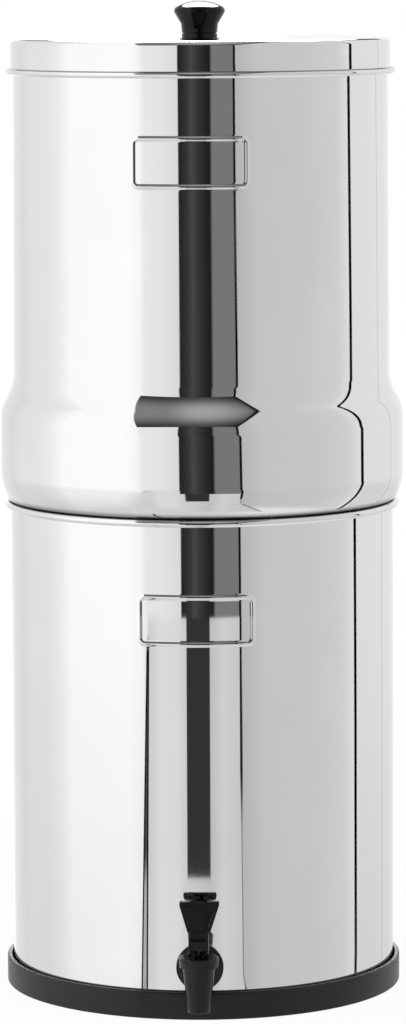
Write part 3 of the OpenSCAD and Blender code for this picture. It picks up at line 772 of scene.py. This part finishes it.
def soften(mesh, width, least=30):
    """Rounds the edges of a closed mesh that turn by more than some degrees."""
    bmesh.ops.recalc_face_normals(mesh, faces=mesh.faces)
    sharp = [edge for edge in mesh.edges if edge.calc_face_angle(0) > math.radians(least)]
    bmesh.ops.bevel(mesh, geom=sharp, offset=width * MM, offset_type="OFFSET", affect="EDGES",
                    segments=2, profile=0.5, material=-1)


def plate(outline, hole, x_from, x_to):
    """A plate across X with an outline in (y, z) about the pin and a round hole for the pin."""
    mesh = bmesh.new()
    edges = []
    for loop in (outline, hole):
        verts = [mesh.verts.new((x_from * MM, (VALVE_Y + y) * MM, (PIN_Z + z) * MM)) for y, z in loop]
        edges += [mesh.edges.new((verts[i - 1], verts[i])) for i in range(len(verts))]
    made = bmesh.ops.triangle_fill(mesh, use_beauty=True, use_dissolve=False, edges=edges)
    faces = [item for item in made["geom"] if isinstance(item, bmesh.types.BMFace)]
    raised = bmesh.ops.extrude_face_region(mesh, geom=faces, use_keep_orig=True)
    moved = [item for item in raised["geom"] if isinstance(item, bmesh.types.BMVert)]
    bmesh.ops.translate(mesh, vec=((x_to - x_from) * MM, 0, 0), verts=moved)
    soften(mesh, CHEEK_SOFT, least=50)
    return mesh


def on_paddle(u, v):
    """A point (y, z) about the pin, u up the paddle and v in front of its face."""
    return (u * math.sin(PADDLE_LEAN) - v * math.cos(PADDLE_LEAN),
            u * math.cos(PADDLE_LEAN) + v * math.sin(PADDLE_LEAN))


def paddle_half(z):
    """Half of the paddle's width at a height above the pin."""
    widest_z = PADDLE_RISE - PADDLE_BAR[1] / 2
    share = min(max((z - PADDLE_FOOT) / (widest_z - PADDLE_FOOT), 0), 1)
    return FORK_OUT + (PADDLE_W - FORK_OUT) * share


def make_paddle():
    """The paddle with its sunk panel and the thick bar along its top."""
    cosine = math.cos(PADDLE_LEAN)
    bar_u = (PADDLE_RISE - PADDLE_BAR[1]) / cosine
    top = on_paddle(PADDLE_RISE / cosine, 0)
    broad_z = PADDLE_RISE - PADDLE_BAR[1] / 2
    broad = on_paddle(broad_z / cosine, 0)
    foot_y = on_paddle((PADDLE_FOOT + PADDLE_T * math.sin(PADDLE_LEAN)) / cosine, -PADDLE_T)[0]
    back_y = top[0] + PADDLE_BAR[0]
    first = math.degrees(math.atan2(*on_paddle(HEAD_CLEAR, 0)[::-1]))
    last = math.degrees(math.asin(PADDLE_FOOT / HEAD_CLEAR))
    hollow = arc(0, 0, HEAD_CLEAR, last, first, 5)
    side = [
        broad, top, (back_y, top[1]), (back_y, broad_z), (back_y, top[1] - PADDLE_BAR[1]),
        on_paddle(bar_u, -PADDLE_T), (foot_y, PADDLE_FOOT)] + hollow
    mesh = bmesh.new()

    def vert(x, spot):
        """A vertex across by x at a point (y, z) about the pin."""
        return mesh.verts.new((x * MM, (VALVE_Y + spot[0]) * MM, (PIN_Z + spot[1]) * MM))

    left = [vert(-paddle_half(spot[1]), spot) for spot in side]
    right = [vert(paddle_half(spot[1]), spot) for spot in side]
    panel, sunk = [], []
    inwards, upwards = PADDLE_PANEL_DRAFT
    for u, sign, draft in (
            (PADDLE_PANEL_FOOT, -1, upwards), (PADDLE_PANEL_FOOT, 1, upwards),
            (bar_u, 1, -upwards), (bar_u, -1, -upwards)):
        spot = on_paddle(u, 0)
        half = paddle_half(spot[1]) - PADDLE_BORDER
        panel.append(vert(sign * half, spot))
        sunk.append(vert(sign * (half - inwards), on_paddle(u + draft, -PADDLE_PANEL_SINK)))
    for i in range(1, len(side) - 1):
        mesh.faces.new((left[i], left[i + 1], right[i + 1], right[i]))
    for row in (left, right):
        mesh.faces.new(row[:4])
        mesh.faces.new([row[0]] + row[3:])
    mesh.faces.new((left[-1], right[-1], panel[1], panel[0]))
    mesh.faces.new((right[-1], right[0], panel[2], panel[1]))
    mesh.faces.new((right[0], right[1], left[1], left[0], panel[3], panel[2]))
    mesh.faces.new((left[0], left[-1], panel[0], panel[3]))
    for i in range(4):
        mesh.faces.new((panel[i - 1], panel[i], sunk[i], sunk[i - 1]))
    mesh.faces.new(sunk)
    soften(mesh, PADDLE_SOFT)
    new_piece(mesh, "lever_paddle", "lever", "tap_plastic", ["tap_lever"])


def make_cheeks():
    """The fork's two cheeks, whose heels roll on the bonnet."""
    heel_r = PIN_Z - BONNET_Z[1] - HEEL_GAP
    rate = HEEL_RISE / math.radians(LEVER_SWING)
    heel = []
    for degrees in range(0, LEVER_SWING + HEEL_STEP + 1, HEEL_STEP):
        a = math.radians(degrees)
        reach = heel_r + rate * a
        heel.append((-reach * math.sin(a) - rate * math.cos(a),
                     -reach * math.cos(a) + rate * math.sin(a)))
    paddle_end = [on_paddle(CHEEK_REACH, v) for v in (-CHEEK_BITE, CHEEK_BITE - PADDLE_T)]
    outline = [(CHEEK_TOE, -heel_r)] + heel + CHEEK_FRONT + paddle_end + CHEEK_BACK
    hole = arc(0, 0, PIN_HOLE_R, 0, 360, 32)[:-1]
    for side, sign in (("left", -1), ("right", 1)):
        cheek = plate(outline, hole, sign * FORK_IN, sign * FORK_OUT)
        new_piece(cheek, "lever_cheek_" + side, "lever", "tap_plastic")


# ---------- Studio ----------

CAMERA_AIM = Vector((0.9, 0, 313.2)) * MM
CAMERA_DISTANCE = 3.068
CAMERA_PITCH = 6.83
CAMERA_TURN = 1.06
CAMERA_ROLL = -0.25
CAMERA_LENS = 162.8
CAMERA_SENSOR = 36
CAMERA_CLIP = 20

# Brightness of the room's walls round the filter, by degrees to the right of the front
ROOM = [
    (-180, 1.2), (-168, 1.1), (-162, 1.01), (-157, 0.89), (-150, 0.85), (-136, 0.8), (-125, 0.866),
    (-106, 0.893), (-95, 0.957), (-84, 1.11), (-44, 1.13), (-36, 1.07), (-33, 0.93), (-23, 0.893),
    (-14, 0.823), (22, 0.55), (25, 0.551), (36, 0.635), (68, 0.657), (93, 0.724), (104, 0.86),
    (107, 0.833), (127, 0.84), (140, 0.86), (150, 0.84), (160, 0.88), (170, 0.93), (180, 0.96)]
# The dark doorway behind the camera, black on its left and grey on its right
DOORWAY = [
    (-12, 0.016), (-9, 0.03), (-6, 0.045), (-4, 0.075), (-1.5, 0.05), (2, 0.03), (7.3, 0.012),
    (7.9, 0.207), (21.7, 0.207)]
# Thin seams between the walls' boards: bearing, half width and brightness that is left
ROOM_SEAMS = [(22.0, 0.7, 0.0), (104.0, 1.3, 0.0), (137.5, 0.8, 0.8)]
# The walls lean by a share of the elevation over a level, within limits, and lean more on the right
LEAN_LEVEL = -2.5
LEAN_LIMITS = (-7, 2)
LEAN = (0.11, 0.19)
LEAN_RIGHT = (8, 20)
# The walls darken towards the floor, and more at the left and at the far right
FADE_HEIGHTS = (-6.5, -14)
FADES = (0.03, 0.09, 0.09)
FADE_LEFT = ((-20, -40), (-150, -110))
FADE_RIGHT = (100, 112)
# Deep down the left darkens once more
SINK = 0.24
SINK_HEIGHTS = (-14, -50)
SINK_LEFT = (0, -30)
# The floor, which shows in what faces down, by degrees to the right of the front
FLOOR = [(-180, 0.72), (20, 0.72), (40, 0.86), (180, 0.86)]
FLOOR_EDGE = (-36, -44)
# The low panel at the left of the front: its top, its leaning left side, where that blurs, its end
LOW_PANEL = [(-33, 0.7), (-29, 0.718), (-24, 0.815), (-14.9, 0.798), (-11, 0.76)]
LOW_PANEL_TOP = -8.12
LOW_PANEL_SIDE = (-31.4, 0.45)
LOW_PANEL_BLURS = -13.5
LOW_PANEL_EDGES = (0.1, 12)
LOW_PANEL_END = -11.6

# The dark gap in the ceiling, in slopes from overhead: half widths, what they gain for each step ahead
# and behind, and the ends behind and ahead
GAP_LEFT = (0.32, 0.62)
GAP_RIGHT = (0.45, 0.25)
GAP_GAIN_BEHIND = 0.25
GAP_ENDS = (3, 2.8)
GAP_EDGE = 0.03
GAP_RIM = (0.04, 0.1)
# The gap's least brightness and what is added overhead, which dies away from a slope on, and behind
GAP_SHADES = (0.07, 0.34)
GAP_FADE = (0.6, 0.95)
GAP_FADE_BEHIND = 1.6
GAP_SIDE_LOSS = (0.42, 0.85)
# The skylight behind the filter, in the same slopes, which lights the top of the knob
SKYLIGHT_BACK = (0.55, 2.1)
SKYLIGHT_SIDE = 0.45
SKYLIGHT_GLOW = 26
SKYLIGHT_FADE = 8.5
# Light Path counts one ray more where a ray leaves for the world
FIRST_MIRROR = 2.5

# Two dark rods close to the filter: bearing at the ground, and lean in degrees a metre
ROD_RADIUS = 0.2
ROD_SPAN = (-0.01, 0.24)
ROD_END = 0.226
RODS = [(-24.22, 12.8), (-22.05, 5.7)]
ROD_HALF = 0.32
ROD_BLUR = 0.07
ROD_DUSK = (0.5, 0.42)
ROD_DUSK_HEIGHTS = (0.065, 0.095)

# The low board in front of the camera, by degrees to the right of the front, and the gate in it
BOARD_RADIUS = 0.88
BOARD_SPAN = (-0.5, 0.153)
BOARD = [(-13.8, 0.798), (-9.2, 0.718), (5.6, 0.599), (12.1, 0.718), (20.5, 0.664), (24, 0.65)]
BOARD_SIDES = (-11, 22.2)
BOARD_GATE = (-7.7, 5.1)
GATE_FOOT = -0.059
GATE_SHADE = (0.0357, 0.0357, 0.0357, 1)
# The line at the board's right side moves right below these heights, by degrees a metre
LINE_SWEEP = [(0.03, 6), (-0.15, 43)]
LINE_HALF = 0.6
LINE_EDGES = (0.5, 0.2)
LINE_GAIN = 0.25
# The line is thicker and darker above and below a thin stretch
LINE_THIN = ((0.03, -0.03), (-0.16, -0.19))
LINE_DARK = (0.64, 0.36)

TABLE_RADIUS = 0.6
TABLE_DROP = 0.0002
TABLE_GREY = (0.82, 0.82, 0.82, 1)
TABLE_GLOW = 1.025
TABLE_WHITE_SHARE = 0.93


def brightness(g, bearing, stops):
    """A grey that changes with the bearing, by stops in degrees to the right of the front."""
    places = [(degrees / 360 + 0.5, shade) for degrees, shade in stops]
    return g.add("ValToRGB", {"stops": places}, [bearing / 360 + 0.5])


def seams(g, bearing, lines):
    """The share of brightness that thin dark lines leave."""
    share = 1.0
    for place, half, shade in lines:
        line = g.smooth(abs(bearing - place), half + 0.2, max(half - 0.2, 0))
        share = (1 - (1 - shade) * line) * share
    return share


def window(g, value, start, end, edge):
    """One between start and end, nought outside."""
    return g.smooth(value, start - edge, start + edge) * g.smooth(value, end + edge, end - edge)


def low_panel(g, walls, bearing, elevation):
    """Sets a low panel into the walls, whose left side leans and blurs further down."""
    from_side = bearing - (LOW_PANEL_SIDE[0] + LOW_PANEL_SIDE[1] * (elevation - LOW_PANEL_TOP))
    crisp, blurred = (g.smooth(from_side, -edge, edge) for edge in LOW_PANEL_EDGES)
    beside = g.blend(g.smooth(elevation, LOW_PANEL_BLURS, LOW_PANEL_BLURS - 1), crisp, blurred)
    under = g.smooth(elevation, LOW_PANEL_TOP + 0.03, LOW_PANEL_TOP - 0.03)
    shown = beside * under * g.smooth(bearing, LOW_PANEL_END + 0.1, LOW_PANEL_END - 0.1)
    return g.mix(shown, walls, brightness(g, bearing, LOW_PANEL))


def room_walls(g, bearing, elevation):
    """The pale walls with the doorway, the seams, the low panel and the floor."""
    over = (elevation - LEAN_LEVEL).least(LEAN_LIMITS[1]).most(LEAN_LIMITS[0])
    leaning = bearing + over * (LEAN[0] + LEAN[1] * g.smooth(bearing, *LEAN_RIGHT))
    doorway = window(g, leaning, DOORWAY[0][0], DOORWAY[-1][0], 0.25)
    walls = g.mix(doorway, brightness(g, leaning, ROOM), brightness(g, leaning, DOORWAY))
    left = g.smooth(leaning, *FADE_LEFT[0]) * g.smooth(leaning, *FADE_LEFT[1])
    right = g.smooth(leaning, *FADE_RIGHT)
    fading = g.smooth(elevation, *FADE_HEIGHTS) * (FADES[0] + FADES[1] * left + FADES[2] * right)
    sinking = SINK * g.smooth(elevation, *SINK_HEIGHTS) * g.smooth(leaning, *SINK_LEFT)
    walls = g.scale(walls, (1 - fading) * (1 - sinking) * seams(g, leaning, ROOM_SEAMS))
    walls = low_panel(g, walls, bearing, elevation)
    return g.mix(g.smooth(elevation, *FLOOR_EDGE), walls, brightness(g, bearing, FLOOR))


def ceiling_gap(g, across, ahead, behind):
    """Where the ceiling's gap is, and its brightness there."""
    depth = ahead.most(0.0)
    left_reach = depth * GAP_LEFT[1] + GAP_LEFT[0] + behind * GAP_GAIN_BEHIND
    right_reach = depth * GAP_RIGHT[1] + GAP_RIGHT[0] + behind * GAP_GAIN_BEHIND
    from_left, from_right = left_reach + across, right_reach - across
    from_edge = from_right.least(GAP_ENDS[1] - ahead)
    inside = g.smooth(from_edge.least(from_left).least(ahead + GAP_ENDS[0]), 0, GAP_EDGE)
    drop = ((depth - GAP_FADE[0]).most(0.0) + GAP_FADE_BEHIND * behind) / GAP_FADE[1]
    overhead = GAP_SHADES[0] + GAP_SHADES[1] * (drop * drop * -1).math("EXPONENT")
    to_left = g.smooth(-across / left_reach, 0, 0.5)
    to_right = across.most(0.0) / right_reach
    sides = (1 - GAP_SIDE_LOSS[0] * to_left) * (1 - GAP_SIDE_LOSS[1] * to_right * to_right)
    return inside, overhead * sides * g.smooth(from_edge, *GAP_RIM)


def light_studio():
    """A pale room with a dark doorway behind the camera, and a dark gap and a skylight in its ceiling."""
    world = bpy.data.worlds.new("studio")
    bpy.context.scene.world = world
    g = Graph(world)
    x, y, z = g.split(g.add("TexCoord"))
    elevation = z.math("ARCSINE") * (180 / math.pi)
    walls = room_walls(g, g.bearing(x, y), elevation)
    up = z.most(0.02)
    across, ahead = x / up, -y / up
    behind = -ahead.least(0.0)
    inside, gap = ceiling_gap(g, across, ahead, behind)
    skylight = window(g, behind, *SKYLIGHT_BACK, 0.05) * (abs(across) < SKYLIGHT_SIDE)
    mirrored = g.ray("Is Glossy Ray") * (g.ray("Ray Depth") < FIRST_MIRROR)
    glow = g.scale(WHITE[:3], SKYLIGHT_GLOW - SKYLIGHT_FADE * behind)
    room = g.mix(skylight * mirrored, g.mix(inside, walls, gap), glow)
    shown = g.mix(g.ray("Is Camera Ray"), room, WHITE)
    g.finish(g.add("Background", {}, {"Color": shown, "Strength": 1.0}), "OutputWorld")


def new_stage(mesh, name):
    """Finishes a bmesh as a piece of the studio, and returns it with the graph of its finish."""
    data = bpy.data.meshes.new(name)
    mesh.to_mesh(data)
    mesh.free()
    thing = bpy.data.objects.new(name, data)
    bpy.context.scene.collection.objects.link(thing)
    material, g = new_material(name + "_finish")
    data.materials.append(material)
    return thing, g


def new_wall(name, radius, foot, top):
    """A round wall about the filter, which only shows in the steel, with the bearing and height on it."""
    mesh = bmesh.new()
    bmesh.ops.create_cone(
        mesh, cap_ends=False, segments=256, radius1=radius, radius2=radius, depth=top - foot)
    bmesh.ops.translate(mesh, vec=(0, 0, (top + foot) / 2), verts=mesh.verts)
    wall, g = new_stage(mesh, name)
    for ray in ("camera", "diffuse", "transmission", "volume_scatter", "shadow"):
        setattr(wall, "visible_" + ray, False)
    x, y, z = g.split(g.object_place())
    return g, g.bearing(x, y), z


def raise_board():
    """The low board in front of the camera, with a gate in it and a dark line along its right side."""
    g, bearing, z = new_wall("board", BOARD_RADIUS, *BOARD_SPAN)
    gate = window(g, bearing, *BOARD_GATE, 0.2) * (z > GATE_FOOT)
    sweep = sum(rate * (start - z).most(0.0) for start, rate in LINE_SWEEP)
    from_side = bearing - sweep - BOARD_SIDES[1]
    (upper, thin), (thick_from, lower) = LINE_THIN
    thick = g.smooth(z, thin, upper).most(g.smooth(z, thick_from, lower))
    width = g.smooth(abs(from_side), *(edge + LINE_GAIN * thick for edge in LINE_EDGES))
    line = (LINE_DARK[0] + LINE_DARK[1] * thick) * width
    shade = g.scale(brightness(g, bearing, BOARD), 1 - line)
    left = g.smooth(bearing, BOARD_SIDES[0] - 0.02, BOARD_SIDES[0] + 0.02)
    right = g.smooth(from_side, LINE_HALF + 0.02, LINE_HALF - 0.02)
    g.finish(g.see_through(left * right, g.glow(g.mix(gate, shade, GATE_SHADE))))


def raise_rods():
    """Two thin dark rods with dusk between them."""
    g, bearing, z = new_wall("rods", ROD_RADIUS, *ROD_SPAN)
    left, right = (bearing - (place + lean * z) for place, lean in RODS)
    dusk = ROD_DUSK[0] + ROD_DUSK[1] * g.smooth(z, *ROD_DUSK_HEIGHTS)
    dark = dusk * g.smooth(left, -0.1, 0.1) * g.smooth(right, 0.1, -0.1)
    for off in (left, right):
        dark = dark.most(g.smooth(abs(off), ROD_HALF + ROD_BLUR, ROD_HALF - ROD_BLUR))
    g.finish(g.see_through(dark * g.smooth(z, ROD_SPAN[1], ROD_END), g.glow(BLACK, 0.0)))


def lay_table():
    """A round white table top. The camera sees it white, with the filter's faint shadow."""
    mesh = bmesh.new()
    bmesh.ops.create_circle(mesh, cap_ends=True, radius=TABLE_RADIUS, segments=128)
    bmesh.ops.translate(mesh, vec=(0, 0, -TABLE_DROP), verts=mesh.verts)
    g = new_stage(mesh, "table_top")[1]
    lit = g.add("BsdfDiffuse", {}, {"Color": TABLE_GREY})
    share = g.ray("Is Camera Ray") * TABLE_WHITE_SHARE
    top = g.add("MixShader", {}, {0: share, 1: lit, 2: g.glow(WHITE, TABLE_GLOW)})
    g.finish(g.see_through(1 - g.ray("Is Glossy Ray"), top))


def aim_camera():
    """Stands the camera in front of the filter, a little above it and to its right."""
    pitch, turn = math.radians(CAMERA_PITCH), math.radians(CAMERA_TURN)
    level = math.cos(pitch)
    away = Vector((level * math.sin(turn), -level * math.cos(turn), math.sin(pitch)))
    camera = bpy.data.objects.new("camera", bpy.data.cameras.new("camera"))
    camera.data.lens = CAMERA_LENS
    camera.data.sensor_width = CAMERA_SENSOR
    camera.data.clip_end = CAMERA_CLIP
    place = Matrix.Translation(CAMERA_AIM + away * CAMERA_DISTANCE)
    facing = away.to_track_quat("Z", "Y").to_matrix().to_4x4()
    camera.matrix_world = place @ facing @ Matrix.Rotation(math.radians(CAMERA_ROLL), 4, "Z")
    bpy.context.scene.collection.objects.link(camera)
    bpy.context.scene.camera = camera
    bpy.context.scene.view_settings.view_transform = "Standard"


aim_camera()
light_studio()
raise_board()
raise_rods()
lay_table()
dress_nodes()
make_lower_chamber()
make_upper_chamber()
make_lid()
make_base_ring()
make_knob()
make_collar()
make_tap_body()
make_bonnet()
make_spring()
make_paddle()
make_cheeks()
